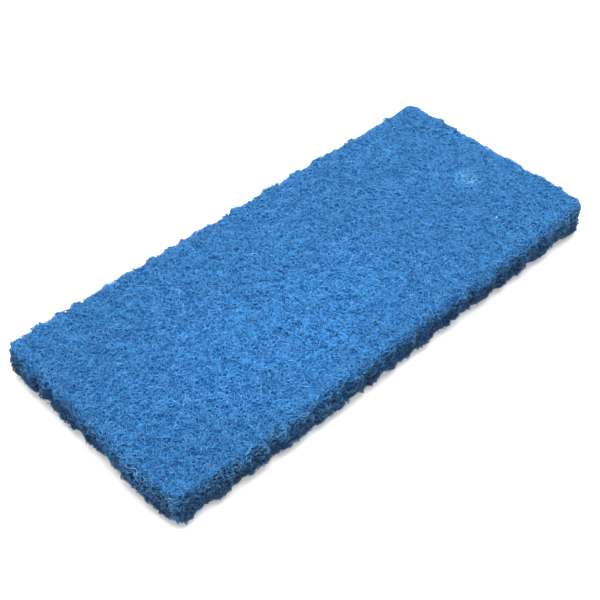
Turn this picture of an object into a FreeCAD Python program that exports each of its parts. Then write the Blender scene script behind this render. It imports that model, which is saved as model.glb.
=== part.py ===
import FreeCAD, Part
import os

# Scrub pad of a grout float: a thick rectangular pad of bonded non-woven web, built up from plies.
#
# The row frame has its origin at the centre of the pad's underside, with +X along the length, +Y
# across the width and +Z up through the thickness. All sizes are in millimetres. The pad is cut
# from the thick web in one stroke, so all plies share one outline. The die goes in through the
# underside, so the lower rim is rolled over further than the upper one. That roll is deeper than
# one ply, and runs on from the bottom face ply into the core ply above it.

# Driving dimensions
LENGTH = 254.0
WIDTH = 114.0
THICKNESS = 19.0
PLY_COUNT = 5
CORNER_RADIUS = 8.0
UPPER_ROLL_RADIUS = 3.5
LOWER_ROLL_RADIUS = 7.5

# Sizes that follow from them
PLY_THICKNESS = THICKNESS / PLY_COUNT

# How far apart two coordinates may be and still count as equal
SAME_PLACE = 1e-6


def level_block(bottom, thickness):
    """A plain block over the whole outline, centred on the Z axis."""
    corner = FreeCAD.Vector(-LENGTH / 2, -WIDTH / 2, bottom)
    return Part.makeBox(LENGTH, WIDTH, thickness, corner)


def upright_edges(shape):
    """The straight edges of a shape that run along Z."""
    found = []
    for edge in shape.Edges:
        low, high = (vertex.Point for vertex in (edge.Vertexes[0], edge.Vertexes[-1]))
        if abs(low.x - high.x) < SAME_PLACE and abs(low.y - high.y) < SAME_PLACE:
            found.append(edge)
    return found


def edges_at_height(shape, height):
    """The edges of a shape that lie in the level plane at that height."""
    return [
        edge
        for edge in shape.Edges
        if abs(edge.BoundBox.ZMin - height) < SAME_PLACE and abs(edge.BoundBox.ZMax - height) < SAME_PLACE
    ]


def whole_pad():
    """The pad's outer shape: four rounded corners, then both rims rolled over."""
    block = level_block(0.0, THICKNESS)
    slab = block.makeFillet(CORNER_RADIUS, upright_edges(block))
    rolled = slab.makeFillet(LOWER_ROLL_RADIUS, edges_at_height(slab, 0.0))
    return rolled.makeFillet(UPPER_ROLL_RADIUS, edges_at_height(rolled, THICKNESS))


def ply_names():
    """The node names, from the underside up."""
    cores = [f"core_ply_{number}" for number in range(1, PLY_COUNT - 1)]
    return ["bottom_face_ply", *cores, "top_face_ply"]


def make_plies():
    """Every ply by its node name: the layers of equal thickness that the pad is made of."""
    pad = whole_pad()
    return {
        name: pad.common(level_block(number * PLY_THICKNESS, PLY_THICKNESS))
        for number, name in enumerate(ply_names())
    }


def main():
    os.makedirs("parts", exist_ok=True)
    for name, solid in make_plies().items():
        solid.exportStep(f"parts/{name}.step")
        print(name, "valid", solid.isValid(), "volume cm3", round(solid.Volume / 1000, 2))


main()
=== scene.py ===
import math

import bmesh
import bpy
import numpy as np
from mathutils import Matrix, Vector


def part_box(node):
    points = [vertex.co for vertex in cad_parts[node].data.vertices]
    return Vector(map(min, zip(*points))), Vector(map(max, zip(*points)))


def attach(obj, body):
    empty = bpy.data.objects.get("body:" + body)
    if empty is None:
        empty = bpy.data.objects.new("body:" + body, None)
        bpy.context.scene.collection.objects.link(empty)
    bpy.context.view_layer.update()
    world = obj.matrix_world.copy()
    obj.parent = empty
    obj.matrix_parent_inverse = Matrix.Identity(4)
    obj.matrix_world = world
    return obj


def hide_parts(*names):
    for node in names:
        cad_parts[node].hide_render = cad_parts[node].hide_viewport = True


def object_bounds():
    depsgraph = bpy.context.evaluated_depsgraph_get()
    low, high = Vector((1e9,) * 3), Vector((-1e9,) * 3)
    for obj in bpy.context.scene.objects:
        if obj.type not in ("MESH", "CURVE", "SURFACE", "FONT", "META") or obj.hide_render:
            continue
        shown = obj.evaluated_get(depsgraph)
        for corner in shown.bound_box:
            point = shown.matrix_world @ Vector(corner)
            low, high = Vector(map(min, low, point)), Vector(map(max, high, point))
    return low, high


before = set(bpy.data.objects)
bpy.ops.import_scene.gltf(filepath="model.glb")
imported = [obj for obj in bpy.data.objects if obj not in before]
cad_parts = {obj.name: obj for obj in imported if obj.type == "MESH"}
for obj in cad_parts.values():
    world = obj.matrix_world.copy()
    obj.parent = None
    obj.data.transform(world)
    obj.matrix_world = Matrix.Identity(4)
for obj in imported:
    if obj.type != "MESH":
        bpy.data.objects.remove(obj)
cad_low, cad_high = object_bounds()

# A thick pad of non-woven fibre web. Five plies, each with a lumpy felted body and
# a web of crimped fibres standing on the faces that show. The pad's lengths are in
# millimetres from its middle, and go to metres when a mesh is made. The camera's are
# millimetres too; the floor's and the light's are metres.
MM = 0.001
PLIES = ("bottom_face_ply", "core_ply_1", "core_ply_2", "core_ply_3", "top_face_ply")
BODY = "root"
CENTRE = (np.array(cad_low) + np.array(cad_high)) / 2 / MM
HALF = (np.array(cad_high) - np.array(cad_low)) / 2 / MM
CORNER_RADIUS = 8.0
UPPER_ROLL, LOWER_ROLL = 3.5, 7.5
rng = np.random.default_rng(20)
# the seed of the rims' waves, picked so that their dips fall much as in the photograph
EDGE_SEED = 14426
# points handled at a time, to spare memory
BATCH = 40000


# ---------------------------------------------------------------- shape of the pad
def slab(p):
    """Distance outside the rounded slab, and the outward normal, at points (n, 3)."""
    q = np.abs(p[:, :2]) - (HALF[:2] - CORNER_RADIUS)
    past = np.maximum(q, 0)
    reach = np.hypot(past[:, 0], past[:, 1])
    d2 = reach + np.minimum(q.max(1), 0) - CORNER_RADIUS
    axis = np.zeros_like(past)
    axis[np.arange(len(p)), q.argmax(1)] = 1
    n2 = np.where(reach[:, None] > 1e-6, past / np.maximum(reach, 1e-6)[:, None], axis)
    n2 = n2 * np.sign(p[:, :2] + 1e-9)
    roll = np.where(p[:, 2] > 0, UPPER_ROLL, LOWER_ROLL)
    wall = d2 + roll
    face = np.abs(p[:, 2]) - (HALF[2] - roll)
    wall_out, face_out = np.maximum(wall, 0), np.maximum(face, 0)
    reach = np.hypot(wall_out, face_out)
    d = reach + np.minimum(np.maximum(wall, face), 0) - roll
    safe = np.maximum(reach, 1e-6)
    wall_n = np.where(reach > 1e-6, wall_out / safe, wall > face)
    face_n = np.where(reach > 1e-6, face_out / safe, wall <= face)
    n = np.column_stack([n2 * wall_n[:, None], face_n * np.sign(p[:, 2] + 1e-9)])
    return d, n / np.maximum(np.linalg.norm(n, axis=1), 1e-6)[:, None]


def wave_field(shortest, longest, count, source=rng):
    """A smooth random field with unit spread, as a sum of plane waves."""
    way = source.normal(size=(count, 3))
    way /= np.linalg.norm(way, axis=1)[:, None]
    length = np.exp(source.uniform(math.log(shortest), math.log(longest), count))
    k = way / length[:, None] * 2 * math.pi
    phase = source.uniform(0, 2 * math.pi, count)
    scale = math.sqrt(2 / count)

    def field(p):
        out = np.empty(len(p))
        for i in range(0, len(p), BATCH):
            out[i:i + BATCH] = np.sin(p[i:i + BATCH] @ k.T + phase).sum(1)
        return out * scale
    return field


loft_waves = wave_field(14, 60, 40)
edge_waves = wave_field(4.5, 14, 60, np.random.default_rng(EDGE_SEED))
lump_waves = wave_field(2.2, 5, 60)
pore_waves = wave_field(1.4, 2.7, 70)
tuft_waves = wave_field(2.2, 4.5, 60)

# how far the faces, the sides and the underside swell and settle
FACE_SWELL, EDGE_SWELL, UNDER_SWELL = 0.12, 1.7, 0.1
TUFT_SWELL = 0.3
EDGE_SETTLE = 0.35
PORE_DEPTH, SIDE_PORES = 0.28, 1.3
# how much of the side's waves the upper rim has, on the near and the far sides
RIM_SHARE = (0.45, 1.2)
# the side's waves run taller than they are wide
UPRIGHT = np.array([1, 1, 0.45])
# the upright corners: worn and sagging above, flared below, and fuller along the pad's back
CORNER_WEAR, CORNER_SAG, CORNER_FLARE, CORNER_FILL = 0.3, 0.4, 0.9, 1.0
CORNER_REACH, CORNER_CALM = 8.5, 0.75
# one corner is worn more, with a bite out of the rim beside it and a painted highlight down it
WORN_CORNER, WORN_MORE = (-1, -1), 1.8
BITE_AT, BITE_REACH, BITE_DEPTH = (-112, -57), 7.0, 2.6
RIDGE_WAY, RIDGE_WIDTH = (-0.90, -0.44), 0.03


def unit(v):
    """The rows of v at length one."""
    return v / np.maximum(np.linalg.norm(v, axis=-1), 1e-6)[..., None]


def bell(distance):
    """One at no distance, falling away like a bell curve."""
    return np.exp(-0.5 * distance ** 2)


def plan_distance(p, x, y):
    """How far points lie from (x, y), seen from above."""
    return np.hypot(p[:, 0] - x, p[:, 1] - y)


def side_share(n):
    """One where the surface stands upright, zero where it lies flat."""
    return np.hypot(n[:, 0], n[:, 1])


def near_corner(p):
    """One at an upright corner of the pad, falling away from it."""
    away = np.hypot(*(HALF[:2] - np.abs(p[:, :2])).T)
    return bell(away / CORNER_REACH)


def at_worn_corner(p):
    """Whether a point lies in the quarter of the pad that has the worn corner."""
    return (p[:, :2] * WORN_CORNER > 0).all(1)


def diagonal(n):
    """One where the wall faces along a corner's diagonal, zero on the straight sides."""
    return 2 * np.abs(n[:, 0] * n[:, 1]) / np.maximum(n[:, 0] ** 2 + n[:, 1] ** 2, 1e-9)


def painted_lit_ridge(p, n):
    """One along the ridge of painted highlight that runs down the worn corner."""
    facing = unit(n[:, :2]) @ RIDGE_WAY
    return at_worn_corner(p) * near_corner(p) * np.exp((facing - 1) / RIDGE_WIDTH)


def swell(p, n):
    """How far the pad's loose surface stands out of the plain slab at p."""
    edge = side_share(n)
    upward = np.maximum(n[:, 2], 0)
    low = 0.5 - 0.5 * p[:, 2] / HALF[2]
    corner = near_corner(p)
    far_side = np.clip(0.5 + n[:, 0] + n[:, 1], 0, 1)
    rim = RIM_SHARE[0] + (RIM_SHARE[1] - RIM_SHARE[0]) * far_side
    wavy = EDGE_SWELL * (rim + (1 - rim) * low) * np.tanh(edge_waves(p * UPRIGHT))
    wavy = wavy * (1 - CORNER_CALM * corner) + TUFT_SWELL * tuft_waves(p) - EDGE_SETTLE
    wear = CORNER_WEAR + WORN_MORE * at_worn_corner(p)
    bent = CORNER_FLARE * low * edge - wear * (1 - low) * (edge + CORNER_SAG * upward)
    bent += CORNER_FILL * diagonal(n) * edge * (p[:, 1] > 0)
    bite = BITE_DEPTH * bell(plan_distance(p, *BITE_AT) / BITE_REACH) * (1 - low) * edge
    face = np.where(n[:, 2] < 0, UNDER_SWELL, FACE_SWELL) * loft_waves(p)
    return face * (1 - edge) + wavy * edge ** 2 + corner * bent - bite


# ---------------------------------------------------------------- meshes
def make_mesh(name, verts, quads, tris=None, ngons=()):
    """A smooth-shaded mesh from arrays, its points in millimetres from the pad's middle."""
    mesh = bpy.data.meshes.new(name)
    mesh.vertices.add(len(verts))
    mesh.vertices.foreach_set("co", ((verts + CENTRE) * MM).astype(np.float32).ravel())
    parts = [np.asarray(quads, np.int32).reshape(-1, 4)]
    if tris is not None:
        parts.append(np.asarray(tris, np.int32).reshape(-1, 3))
    parts += [np.asarray(g, np.int32).reshape(1, -1) for g in ngons]
    loops = np.concatenate([f.ravel() for f in parts])
    sizes = np.concatenate([np.full(len(f), f.shape[1]) for f in parts])
    starts = np.concatenate([[0], np.cumsum(sizes)[:-1]]).astype(np.int32)
    mesh.loops.add(len(loops))
    mesh.loops.foreach_set("vertex_index", loops)
    mesh.polygons.add(len(sizes))
    mesh.polygons.foreach_set("loop_start", starts)
    mesh.polygons.foreach_set("use_smooth", np.ones(len(sizes), bool))
    mesh.update(calc_edges=True)
    return mesh


def make_piece(mesh, material):
    """One visible piece of the pad, riding the pad's body."""
    piece = bpy.data.objects.new(mesh.name, mesh)
    bpy.context.scene.collection.objects.link(piece)
    mesh.materials.append(material)
    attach(piece, BODY)
    return piece


# ---------------------------------------------------------------- felted body of a ply
BED_STEP = 1.25
BED_ROW = 0.8
BED_DEPTH = 1.3
BED_LUMP = 0.24
PLY_CREASE = 0.06
HIDDEN_MARGIN = 8
# a ply that reaches this close to a face of the pad shows there
SHOWS_WITHIN = 0.5
FLOOR_GAP = 0.06
# the grid's outermost points, in order around the pad
NX, NY = round(2 * HALF[0] / BED_STEP), round(2 * HALF[1] / BED_STEP)
ring_i = np.concatenate([np.arange(NX), np.full(NY, NX), np.arange(NX, 0, -1), np.zeros(NY, int)])
ring_j = np.concatenate([np.zeros(NX, int), np.arange(NY), np.full(NX, NY), np.arange(NY, 0, -1)])
RING = len(ring_i)


def round_corners(xy):
    """Pulls the corners of a rectangular grid in to the pad's rounded outline."""
    q = np.maximum(np.abs(xy) - (HALF[:2] - CORNER_RADIUS), 0)
    far = np.maximum(np.hypot(q[:, 0], q[:, 1]), 1e-6)
    pulled = q * (q.max(1) / far)[:, None]
    return xy + np.sign(xy) * (pulled - q)


def roll_edges(p):
    """Rolls the pad's upper and lower rims."""
    d2 = slab(np.column_stack([p[:, :2], np.zeros(len(p))]))
    roll = np.where(p[:, 2] > 0, UPPER_ROLL, LOWER_ROLL)
    u, n = np.maximum(d2[0] + roll, 0), d2[1]
    v = np.maximum(np.abs(p[:, 2]) - (HALF[2] - roll), 0)
    pull = np.maximum(u, v) / np.maximum(np.hypot(u, v), 1e-6)
    both = (u > 0) & (v > 0)
    out = p.copy()
    out[:, :2] += n[:, :2] * np.where(both, u * pull - u, 0)[:, None]
    out[:, 2] += np.sign(p[:, 2]) * np.where(both, v * pull - v, 0)
    return out


def felted(p, keep_z=None):
    """Sinks points on the slab's surface by the depth of the felted body, with lumps."""
    p = roll_edges(p)
    _, n = slab(p)
    depth = -BED_DEPTH + swell(p, n) + BED_LUMP * lump_waves(p)
    if keep_z is not None:
        n = np.column_stack([n[:, :2], np.where(keep_z, 0, n[:, 2])])
    p = p + n * depth[:, None]
    p[:, 2] = np.maximum(p[:, 2], -HALF[2] + FLOOR_GAP)
    return p


def grid_xy(i, j):
    """Where the grid's points lie in plan."""
    xy = np.column_stack([-HALF[0] + i * 2 * HALF[0] / NX, -HALF[1] + j * 2 * HALF[1] / NY])
    return round_corners(xy)


def ply_levels(node):
    """The heights of a ply's underside and upper side."""
    low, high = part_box(node)
    return low[2] / MM - CENTRE[2], high[2] / MM - CENTRE[2]


def ply_mesh(node):
    """A closed body with a fine surface where it shows and a plain cap where it doesn't."""
    z0, z1 = ply_levels(node)
    top_shows, under_shows = z1 > HALF[2] - SHOWS_WITHIN, z0 < -HALF[2] + SHOWS_WITHIN
    z0 += 0 if under_shows else PLY_CREASE
    z1 -= 0 if top_shows else PLY_CREASE
    rows = round((z1 - z0) / BED_ROW) + 1
    z = np.repeat(np.linspace(z0, z1, rows), RING)
    ring = grid_xy(ring_i, ring_j)
    wall = np.column_stack([np.tile(ring, (rows, 1)), z])
    level = np.repeat(np.arange(rows), RING)
    fixed = ((level == 0) & (not under_shows)) | ((level == rows - 1) & (not top_shows))
    verts = [felted(wall, fixed)]
    at = np.arange(RING)
    nxt = (at + 1) % RING
    strip = np.column_stack([at, nxt, nxt + RING, at + RING])
    quads = [strip + k * RING for k in range(rows - 1)]
    ngons = []
    count = rows * RING
    ends = ((under_shows, 0, z0, True), (top_shows, (rows - 1) * RING, z1, False))
    for shows, base, z_end, flip in ends:
        if shows:
            gi, gj = np.meshgrid(np.arange(1, NX), np.arange(1, NY), indexing="ij")
            inner = grid_xy(gi.ravel(), gj.ravel())
            verts.append(felted(np.column_stack([inner, np.full(len(inner), z_end)])))
            index = np.full((NX + 1, NY + 1), -1)
            index[gi, gj] = count + np.arange(gi.size).reshape(gi.shape)
            index[ring_i, ring_j] = base + at
            f = [index[:-1, :-1], index[1:, :-1], index[1:, 1:], index[:-1, 1:]]
            f = np.stack(f, -1).reshape(-1, 4)
            quads.append(f[:, ::-1] if flip else f)
            count += gi.size
        else:
            last = verts[0][base:base + RING]
            verts.append(last * [*(1 - HIDDEN_MARGIN / HALF[:2]), 1])
            f = np.column_stack([base + at, base + nxt, count + nxt, count + at])
            quads.append(f[:, ::-1] if flip else f)
            ngons.append((count + at)[::-1] if flip else count + at)
            count += RING
    return make_mesh(node + "_felt", np.concatenate(verts), np.concatenate(quads), ngons=ngons)


# ---------------------------------------------------------------- fibres
FIBRE_POINTS = 16
FIBRE_SIDES = 3
FIBRE_RADIUS = (0.085, 0.145)
FIBRE_STEP = (0.6, 0.95)
FIBRE_BEAT = (1.0, 2.1)
# the ends taper, and the last quarter of each half dives into the web
END_TAPER, END_DIVE, END_SHARE = 0.45, 1.1, 0.25
TURN_KEPT = 0.6
TURN_BACK = 0.1
RIM_MARGIN = 0.3
# each fibre's cell on the texture square, with a gap around what is used of it
CELLS = 48
CELL_GAP, CAP_GAP = 0.08, 0.04


def walk(start, heading, step, depth, sway, beat, phase, wander, flatten, band):
    """Paths (fibre, point, 3) that wander over the pad's loose surface, rising and diving.

    flatten keeps a side's fibres from climbing, and band turns them back at two heights."""
    p = start.copy()
    _, n = slab(p)
    t = unit(heading - n * (heading * n).sum(1)[:, None])
    turn = rng.normal(0, wander)
    path, normals = [], []
    for k in range(FIBRE_POINTS):
        from_middle = abs(2 * k / (FIBRE_POINTS - 1) - 1)
        dive = END_DIVE * max(0, from_middle - 1 + END_SHARE) / END_SHARE
        level = depth + sway * np.sin(beat * k + phase) - dive
        d, n = slab(p)
        pore = PORE_DEPTH * (1 + SIDE_PORES * side_share(n)) * np.minimum(pore_waves(p), 0)
        p = p + n * (level + pore + swell(p, n) - d)[:, None]
        path.append(p)
        normals.append(n)
        turn = TURN_KEPT * turn + rng.normal(0, wander)
        side = np.cross(n, t)
        t = t * np.cos(turn)[:, None] + side * np.sin(turn)[:, None]
        t = t - n * (t * n).sum(1)[:, None]
        if flatten:
            t[:, 2] *= flatten
        if band is not None:
            t[:, 2] = np.where(p[:, 2] < band[0], np.abs(t[:, 2]) + TURN_BACK, t[:, 2])
            t[:, 2] = np.where(p[:, 2] > band[1], -np.abs(t[:, 2]) - TURN_BACK, t[:, 2])
        t = unit(t)
        p = p + t * step[:, None]
    path, normals = np.stack(path, 1), np.stack(normals, 1)
    path[:, :, 2] = np.maximum(path[:, :, 2], -HALF[2] + FLOOR_GAP + FIBRE_RADIUS[1])
    return path, normals


def tubes(name, path, normals, radius):
    """One closed thin tube along each path."""
    count, points, _ = path.shape
    tangent = unit(np.gradient(path, axis=1))
    side = unit(np.cross(tangent, normals))
    out = np.cross(side, tangent)
    taper = np.ones(points)
    taper[[0, -1]] = END_TAPER
    r = radius[:, None] * taper
    angles = math.pi / 2 + np.arange(FIBRE_SIDES) * 2 * math.pi / FIBRE_SIDES
    rings = [path + r[..., None] * (math.sin(a) * out + math.cos(a) * side) for a in angles]
    verts = np.stack(rings, 2)
    index = np.arange(count * points * FIBRE_SIDES).reshape(count, points, FIBRE_SIDES)
    beside = np.roll(index, -1, axis=2)
    quads = [index[:, :-1], beside[:, :-1], beside[:, 1:], index[:, 1:]]
    quads = np.stack(quads, -1).reshape(-1, 4)
    tris = np.concatenate([index[:, 0, ::-1], index[:, -1]])
    mesh = make_mesh(name, verts.reshape(-1, 3), quads, tris)
    lay_out(mesh, count, points)
    colour_facts(mesh, path)
    return mesh


def lay_out(mesh, count, points):
    """Gives each fibre a cell of its own on the texture square."""
    cell = np.arange(count)
    corner = np.stack([cell % CELLS, cell // CELLS], -1) / CELLS
    along = (CELL_GAP + (1 - 2 * CELL_GAP) * np.linspace(0, 1, points)) / CELLS
    around = (CELL_GAP + (1 - 2 * CELL_GAP) * np.linspace(0, 1, FIBRE_SIDES + 1)) / CELLS
    uv = np.empty((count, points - 1, FIBRE_SIDES, 4, 2))
    a0, a1 = along[:-1, None], along[1:, None]
    r0, r1 = around[None, :-1], around[None, 1:]
    for c, (a, b) in enumerate(((a0, r0), (a0, r1), (a1, r1), (a1, r0))):
        uv[..., c, 0] = a
        uv[..., c, 1] = b
    uv += corner[:, None, None, None, :]
    caps = np.stack([np.full(FIBRE_SIDES, CAP_GAP / CELLS), around[:-1]], -1)
    caps = corner[:, None, :] + caps
    caps_end = caps + [(1 - 2 * CAP_GAP) / CELLS, 0]
    layer = mesh.uv_layers.new(name="OFBake")
    flat = np.concatenate([uv.reshape(-1, 2), caps.reshape(-1, 2), caps_end.reshape(-1, 2)])
    layer.uv.foreach_set("vector", flat.astype(np.float32).ravel())


def fibre_batch(start, spread, depth, sway, wander, flatten=0, band=None):
    """One fibre from each start, with its own heading, step, depth and sway."""
    count = len(start)
    heading = rng.normal(size=(count, 3)) * spread
    step = rng.uniform(*FIBRE_STEP, count)
    return walk(start, heading, step, rng.uniform(*depth, count), rng.uniform(*sway, count),
                rng.uniform(*FIBRE_BEAT, count), rng.uniform(0, 2 * math.pi, count),
                np.full(count, wander), flatten, band)


def face_starts(count, z):
    """Evenly scattered points on a face, one in each cell of a grid."""
    across = round(math.sqrt(count * HALF[1] / HALF[0]))
    along = count // across
    i, j = np.meshgrid(np.arange(along), np.arange(across), indexing="ij")
    at = np.column_stack([i.ravel(), j.ravel()]) + rng.uniform(0, 1, (i.size, 2))
    xy = (at / (along, across) * 2 - 1) * (HALF[:2] - RIM_MARGIN)
    return np.column_stack([round_corners(xy), np.full(i.size, z)])


def side_starts(count, z0, z1):
    """Points scattered around the sides, between two heights."""
    where = rng.uniform(0, RING, count).astype(int) % RING
    xy = grid_xy(ring_i[where], ring_j[where])
    return np.column_stack([xy, rng.uniform(z0, z1, count)])


# ---------------------------------------------------------------- what the fibres' colours follow
TONE_SPREAD, TONE_DRIFT = 0.16, 0.22
# depth below the loose surface of the full painted shade of the hollows, and the span from there
DEEP_AT, DEEP_SPAN = -1.5, 1.9
# a scuffed spot on the face, and painted light on the corner's ridge and low stretches' rims
RUB_AT, RUB_REACH = (98.0, -5.9), 3.2
RIDGE_PAINTED_LIGHT, RIM_PAINTED_LIGHT = 0.55, 1.5
RIM_LIGHT_START, RIM_LIGHT_SPAN = 0.35, 0.2
FACE_UP = 0.9
# a painted pool of light: the middle of the face is a little paler than its ends
LIGHT_POOL_AT, LIGHT_POOL_REACH = (-38.0, -20.0), (44.0, 30.0)
# the painted shade of the sides: where it starts on the roll, and how it fades above
WALL_GAIN, WALL_START = 1.6, 0.5
RISE_START, RISE_AT_END, RISE_SPAN, RISE_FADE = 0.52, 0.22, 0.42, 0.75
FOOT_HEIGHT = 0.3
RIDGE_FADE, RIDGE_POWER = 0.7, 6
# the painted shade of a plain wall; the foot of the wall has the full painted shade
PLAIN_WALL_PAINTED_SHADE = 0.74
# stretches of the side where the painted shade stands lower: x, y, reach and drop
LOW_STRETCHES = ((-85, -57, 30, 0.18), (127, -57, 24, 0.20), (-127, -35, 14, 0.08))


def height_share(p):
    """Zero at the underside, one at the upper face."""
    return 0.5 + 0.5 * p[:, 2] / HALF[2]


def painted_shade_drop(p):
    """How much lower the painted shade of the side stands at p, as a share of the height."""
    return sum(drop * bell(plan_distance(p, x, y) / reach) for x, y, reach, drop in LOW_STRETCHES)


def rubbed_and_painted_light(p, n):
    """How far a point is paler: a scuffed spot on the face, and painted light on the sides."""
    on_face = bell(plan_distance(p, *RUB_AT) / RUB_REACH) * (n[:, 2] > FACE_UP)
    upper = np.clip((height_share(p) - RIM_LIGHT_START) / RIM_LIGHT_SPAN, 0, 1) * side_share(n)
    on_side = RIDGE_PAINTED_LIGHT * painted_lit_ridge(p, n) + RIM_PAINTED_LIGHT * painted_shade_drop(p) * upper
    return on_face + on_side * (n[:, 2] < FACE_UP)


def painted_wall_shade(p, n):
    """How far a point takes the painted shade of the pad's sides."""
    height = height_share(p)
    start = RISE_START + RISE_AT_END * np.minimum(n[:, 0], 0) - painted_shade_drop(p)
    rise = np.clip((height - start) / RISE_SPAN, 0, 1)
    foot = np.clip(1 - height / FOOT_HEIGHT, 0, 1)
    tint = np.clip(side_share(n) * WALL_GAIN - WALL_START, 0, 1)
    tint *= 1 - RISE_FADE * rise * (1 - near_corner(p))
    tint *= 1 - RIDGE_FADE * diagonal(n) ** RIDGE_POWER * (1 - foot)
    return tint * (PLAIN_WALL_PAINTED_SHADE + (1 - PLAIN_WALL_PAINTED_SHADE) * foot) * (1 - painted_lit_ridge(p, n))


def colour_facts(mesh, path):
    """Writes what a fibre's colour follows to its points, for the material to read."""
    count, points, _ = path.shape
    p = path.reshape(-1, 3)
    d, n = slab(p)
    lift = np.clip((d - swell(p, n) - DEEP_AT) / DEEP_SPAN, 0, 1)
    middle = bell(np.linalg.norm((p[:, :2] - LIGHT_POOL_AT) / LIGHT_POOL_REACH, axis=1))
    drift = rng.normal(size=(count, points + 1))
    drift = (drift[:, 1:] + drift[:, :-1]) / math.sqrt(2)
    tone = 0.5 + TONE_SPREAD * rng.uniform(-1, 1, (count, 1)) + TONE_DRIFT * drift
    # lift: painted shade of hollows; wall: painted shade of sides; middle: painted pool of light
    facts = {"tone": np.clip(tone, 0, 1).ravel(), "lift": lift, "wall": painted_wall_shade(p, n),
             "rub_and_painted_light": rubbed_and_painted_light(p, n), "middle": middle}
    for name, values in facts.items():
        values = np.repeat(values, FIBRE_SIDES).astype(np.float32)
        mesh.attributes.new(name, "FLOAT", "POINT").data.foreach_set("value", values)


# ---------------------------------------------------------------- materials
def nodes_of(name):
    material = bpy.data.materials.new(name)
    material.use_nodes = True
    tree = material.node_tree
    return material, tree, tree.nodes["Principled BSDF"]


def add(tree, kind, **settings):
    """A node with its sockets and properties set by name."""
    node = tree.nodes.new(kind)
    for key, value in settings.items():
        if key in node.inputs:
            node.inputs[key].default_value = value
        else:
            setattr(node, key, value)
    return node


def noise(tree, place, size, detail=3.0, roughness=0.6):
    """Noise whose largest features are size millimetres across."""
    node = add(tree, "ShaderNodeTexNoise", Detail=detail, Roughness=roughness)
    node.inputs["Scale"].default_value = 1 / (size * MM)
    tree.links.new(place, node.inputs["Vector"])
    return node.outputs["Fac"]


def ramp(tree, value, stops):
    """Colours along a value: pairs of where a colour stands and the colour."""
    node = add(tree, "ShaderNodeValToRGB")
    marks = node.color_ramp.elements
    while len(marks) < len(stops):
        marks.new(0.5)
    for mark, (at, colour) in zip(marks, stops):
        mark.position = at
        mark.color = (*colour, 1)
    tree.links.new(value, node.inputs["Fac"])
    return node.outputs["Color"]


def grey(value):
    return (value,) * 3


def cloud(tree, place, size, low, high):
    """A soft patchy shade between two greys."""
    return ramp(tree, noise(tree, place, size), ((0.3, grey(low)), (0.7, grey(high))))


def multiply(tree, a, b):
    node = add(tree, "ShaderNodeMix", data_type="RGBA", blend_type="MULTIPLY")
    node.inputs[0].default_value = 1
    tree.links.new(a, node.inputs[6])
    tree.links.new(b, node.inputs[7])
    return node.outputs[2]


def finish(tree, shader, colour, roughness, gloss):
    tree.links.new(colour, shader.inputs["Base Color"])
    shader.inputs["Roughness"].default_value = roughness
    shader.inputs["Specular IOR Level"].default_value = gloss


def add_bump(tree, shader, height, strength, depth):
    bump = add(tree, "ShaderNodeBump", Strength=strength, Distance=depth * MM)
    tree.links.new(height, bump.inputs["Height"])
    tree.links.new(bump.outputs["Normal"], shader.inputs["Normal"])


# a fibre's own colour is one of its tones, and is then multiplied by these shades
TONE_STOPS, LIFT_STOPS, HUE_STOPS = (0, 0.35, 0.8, 1), (0, 0.45, 0.85, 1), (0.35, 0.65)
# painted light on the crowns; a paler scuffed spot, with painted light on ridge and rims
CROWN_PAINTED_LIGHT, PALER_RUB_AND_PAINTED_LIGHT = (1.10, 1.03, 1.01), (3.8, 2.15, 1.58)
# painted shade of the sides, full at their foot
WALL_PAINTED_SHADE, FOOT_PAINTED_SHADE = (0.66, 0.53, 0.50), (0.52, 0.40, 0.38)
# painted shade at the face's ends, painted light in its middle
END_PAINTED_SHADE, MIDDLE_PAINTED_LIGHT = 0.905, 1.17
TEAL, VIOLET, HUE_SIZE = (0.86, 1.01, 1.0), (1.16, 0.99, 1.0), 4.5
# soft patches of shade: their size, and their darkest and lightest greys
PATCHES = ((38, 0.95, 1.04), (7, 0.98, 1.02))


def fibre_material(name, tones, deep):
    material, tree, shader = nodes_of(name)
    place = add(tree, "ShaderNodeNewGeometry").outputs["Position"]
    facts = [add(tree, "ShaderNodeAttribute", attribute_name=fact).outputs["Fac"]
             for fact in ("tone", "lift", "wall", "rub_and_painted_light", "middle")]
    tone, lift, wall, rub_and_painted_light, middle = facts
    halfway = tuple(0.45 + 0.5 * v for v in deep)
    colour = ramp(tree, tone, tuple(zip(TONE_STOPS, tones)))
    shades = (
        # painted shade in the hollows between fibres, painted light on their crowns
        ramp(tree, lift, tuple(zip(LIFT_STOPS, (deep, halfway, grey(1), CROWN_PAINTED_LIGHT)))),
        # a paler scuffed spot on the face, and painted light on the corner's ridge and upper rims
        ramp(tree, rub_and_painted_light, ((0, grey(1)), (1, PALER_RUB_AND_PAINTED_LIGHT))),
        # painted shade on the sides, darkest at the foot
        ramp(tree, wall, ((0, grey(1)), (PLAIN_WALL_PAINTED_SHADE, WALL_PAINTED_SHADE), (1, FOOT_PAINTED_SHADE))),
        # a painted pool of light on the middle of the face, painted shade at its ends
        ramp(tree, middle, ((0, grey(END_PAINTED_SHADE)), (1, grey(MIDDLE_PAINTED_LIGHT)))),
        *(cloud(tree, place, *patch) for patch in PATCHES),
        ramp(tree, noise(tree, place, HUE_SIZE), tuple(zip(HUE_STOPS, (TEAL, VIOLET)))),
    )
    for shade in shades:
        colour = multiply(tree, colour, shade)
    finish(tree, shader, colour, roughness=0.55, gloss=0.3)
    return material


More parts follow.
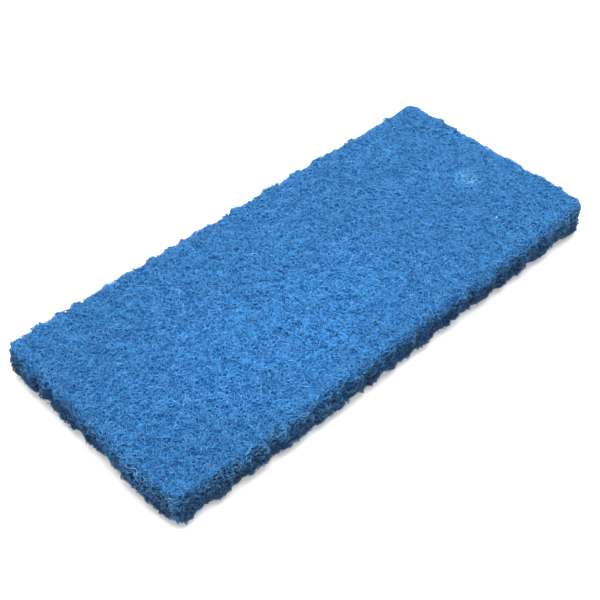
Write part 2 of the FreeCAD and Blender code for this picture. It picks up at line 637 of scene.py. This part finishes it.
def felt_material(name, dark, light):
    material, tree, shader = nodes_of(name)
    place = add(tree, "ShaderNodeNewGeometry").outputs["Position"]
    strands = noise(tree, place, 0.8, detail=4.0, roughness=0.7)
    colour = ramp(tree, strands, ((0.35, dark), (0.65, light)))
    colour = multiply(tree, colour, cloud(tree, place, 30, 0.85, 1.1))
    finish(tree, shader, colour, roughness=0.8, gloss=0.1)
    add_bump(tree, shader, strands, strength=0.7, depth=0.4)
    return material


# from the darkest tone to the palest; the deepest fibres take the painted shade of the hollows
FACE_TONES = ((0.013, 0.130, 0.372), (0.024, 0.188, 0.468),
              (0.053, 0.263, 0.549), (0.106, 0.322, 0.598))
# the sides' tones are darker than the face's: partly the cut web's own colour, partly painted
# shade
RIM_TONES = ((0.013, 0.120, 0.345), (0.024, 0.175, 0.435),
             (0.052, 0.244, 0.515), (0.102, 0.304, 0.564))
CORE_TONES = ((0.014, 0.112, 0.320), (0.023, 0.160, 0.400),
              (0.052, 0.228, 0.480), (0.098, 0.288, 0.526))
# painted shade of the hollows, far darker on the sides
FACE_HOLLOW_PAINTED_SHADE, SIDE_HOLLOW_PAINTED_SHADE = (0.32, 0.44, 0.54), (0.06, 0.12, 0.20)
face_fibre = fibre_material("face_fibre", FACE_TONES, FACE_HOLLOW_PAINTED_SHADE)
rim_fibre = fibre_material("rim_fibre", RIM_TONES, SIDE_HOLLOW_PAINTED_SHADE)
core_fibre = fibre_material("core_fibre", CORE_TONES, SIDE_HOLLOW_PAINTED_SHADE)
# the felts' near-black blue is painted shade of the pores between the fibres, darker in the core
face_felt = felt_material("face_felt", (0.002, 0.020, 0.070), (0.008, 0.085, 0.240))
core_felt = felt_material("core_felt", (0.002, 0.015, 0.050), (0.006, 0.060, 0.170))


# ---------------------------------------------------------------- build the pad
TOP_PIECES, UNDER_PIECES = 7, 3
FACE_FIBRES, SIDE_FIBRES = 2150, 1500
# how deep each fibre runs, how far it rises and dives, and how much it turns
TOP_RUN = {"spread": (1, 1, 0), "depth": (-0.8, 0.0), "sway": (0.15, 0.6), "wander": 0.8}
UNDER_RUN = {"spread": (1, 1, 0), "depth": (-0.9, -0.2), "sway": (0.1, 0.4), "wander": 0.62}
SIDE_RUN = {"spread": (1, 1, 1), "depth": (-1.1, -0.05), "sway": (0.15, 0.6), "wander": 0.62,
            "flatten": 0.85}
# how far beyond its ply's borders a side fibre may start, and may run
START_SPILL, RUN_SPILL = 0.6, 1.6


def web(name, paths, material):
    path, normals = paths
    radius = rng.uniform(*FIBRE_RADIUS, len(path))
    make_piece(tubes(name, path, normals, radius), material)


def side_web(node, material):
    low, high = ply_levels(node)
    start = side_starts(SIDE_FIBRES, low - START_SPILL, high + START_SPILL)
    paths = fibre_batch(start, band=(low - RUN_SPILL, high + RUN_SPILL), **SIDE_RUN)
    web(node + "_side_web", paths, material)


for node in PLIES:
    outer = node in (PLIES[0], PLIES[-1])
    if outer:
        bed = make_piece(ply_mesh(node), face_felt)
    else:
        bed = make_piece(ply_mesh(node), core_felt)
    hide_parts(node)
for k in range(TOP_PIECES):
    paths = fibre_batch(face_starts(FACE_FIBRES, HALF[2]), **TOP_RUN)
    web(f"top_face_web_{k + 1}", paths, face_fibre)
for k in range(UNDER_PIECES):
    paths = fibre_batch(face_starts(FACE_FIBRES, -HALF[2]), **UNDER_RUN)
    web(f"bottom_face_web_{k + 1}", paths, face_fibre)
for node in PLIES:
    if node in (PLIES[0], PLIES[-1]):
        side_web(node, rim_fibre)
    else:
        side_web(node, core_fibre)


# ---------------------------------------------------------------- a pale fleck caught in the web
FLECK_AT = (85.4, -34.1)
FLECK_SIZE = (0.46, 0.38, 0.26)
FLECK_DARK, FLECK_LIGHT = (0.20, 0.33, 0.60), (0.32, 0.44, 0.76)


def fleck_lump(x, y, z):
    """How much the fleck swells or shrinks, seen along a direction."""
    return 1 + 0.22 * math.sin(3.1 * x + 1) * math.cos(4.3 * y) + 0.12 * math.sin(7 * z)


def fleck():
    mesh = bpy.data.meshes.new("pale_fleck")
    shape = bmesh.new()
    bmesh.ops.create_icosphere(shape, subdivisions=3, radius=1)
    middle = Vector((*FLECK_AT, HALF[2])) + Vector(CENTRE)
    for vert in shape.verts:
        lump = fleck_lump(*vert.co)
        grown = Vector(a * b * lump for a, b in zip(vert.co, FLECK_SIZE))
        vert.co = (grown + middle) * MM
    shape.to_mesh(mesh)
    shape.free()
    mesh.shade_smooth()
    material, tree, shader = nodes_of("pale_grain")
    place = add(tree, "ShaderNodeNewGeometry").outputs["Position"]
    colour = ramp(tree, noise(tree, place, 0.5), ((0.3, FLECK_DARK), (0.7, FLECK_LIGHT)))
    finish(tree, shader, colour, roughness=0.7, gloss=0.5)
    add_bump(tree, shader, noise(tree, place, 0.25), strength=0.5, depth=0.1)
    make_piece(mesh, material)


fleck()


# ---------------------------------------------------------------- floor, light, camera
FLOOR_RADIUS = 12.0
FLOOR_GREY, FLOOR_GLOW = 0.5, 0.33
KEY_AT, KEY_SIZE, KEY_POWER = (0.0, 0.01, 0.75), 0.7, 18.3
SKY, SKY_STRENGTH = (0.93, 0.96, 1, 1), 0.85
CAMERA_LENS, SENSOR, CLIP_START = 68.16, 36, 10
CAMERA_AZIMUTH, CAMERA_ELEVATION, CAMERA_ROLL = -44.0, 44.9, 0.34
CAMERA_DISTANCE = 519.6
CAMERA_PAN = (-6.52, -1.05)


def lay_floor():
    mesh = bpy.data.meshes.new("floor")
    shape = bmesh.new()
    bmesh.ops.create_circle(shape, cap_ends=True, segments=64, radius=FLOOR_RADIUS)
    shape.to_mesh(mesh)
    shape.free()
    piece = bpy.data.objects.new("floor", mesh)
    bpy.context.scene.collection.objects.link(piece)
    material, _, shader = nodes_of("floor_paint")
    shader.inputs["Base Color"].default_value = (*grey(FLOOR_GREY), 1)
    shader.inputs["Roughness"].default_value = 0.9
    shader.inputs["Emission Color"].default_value = (1, 1, 1, 1)
    shader.inputs["Emission Strength"].default_value = FLOOR_GLOW
    mesh.materials.append(material)


def light_studio():
    light = bpy.data.lights.new("key", "AREA")
    light.shape = "SQUARE"
    light.size = KEY_SIZE
    light.energy = KEY_POWER
    lamp = bpy.data.objects.new("key", light)
    lamp.location = KEY_AT
    lamp.rotation_euler = (-Vector(KEY_AT)).to_track_quat("-Z", "Y").to_euler()
    bpy.context.scene.collection.objects.link(lamp)
    world = bpy.data.worlds.new("studio")
    world.use_nodes = True
    sky = world.node_tree.nodes["Background"]
    sky.inputs["Color"].default_value = SKY
    sky.inputs["Strength"].default_value = SKY_STRENGTH
    bpy.context.scene.world = world
    bpy.context.scene.view_settings.view_transform = "Standard"


def turned(a, b, angle):
    """Two perpendicular directions, turned together."""
    return a * math.cos(angle) + b * math.sin(angle), b * math.cos(angle) - a * math.sin(angle)


def place_camera():
    a, e, roll = (math.radians(v) for v in (CAMERA_AZIMUTH, CAMERA_ELEVATION, CAMERA_ROLL))
    back = Vector((math.sin(a) * math.cos(e), -math.cos(a) * math.cos(e), math.sin(e)))
    right = Vector((math.cos(a), math.sin(a), 0))
    right, up = turned(right, back.cross(right), roll)
    aim = Vector(((cad_low.x + cad_high.x) / 2, (cad_low.y + cad_high.y) / 2, cad_low.z))
    place = aim + (back * CAMERA_DISTANCE + right * CAMERA_PAN[0] + up * CAMERA_PAN[1]) * MM
    data = bpy.data.cameras.new("camera")
    data.lens = CAMERA_LENS
    data.sensor_width = SENSOR
    data.clip_start = CLIP_START * MM
    camera = bpy.data.objects.new("camera", data)
    turn = Matrix((right, up, back)).transposed()
    camera.matrix_world = Matrix.Translation(place) @ turn.to_4x4()
    bpy.context.scene.collection.objects.link(camera)
    bpy.context.scene.camera = camera


lay_floor()
light_studio()
place_camera()
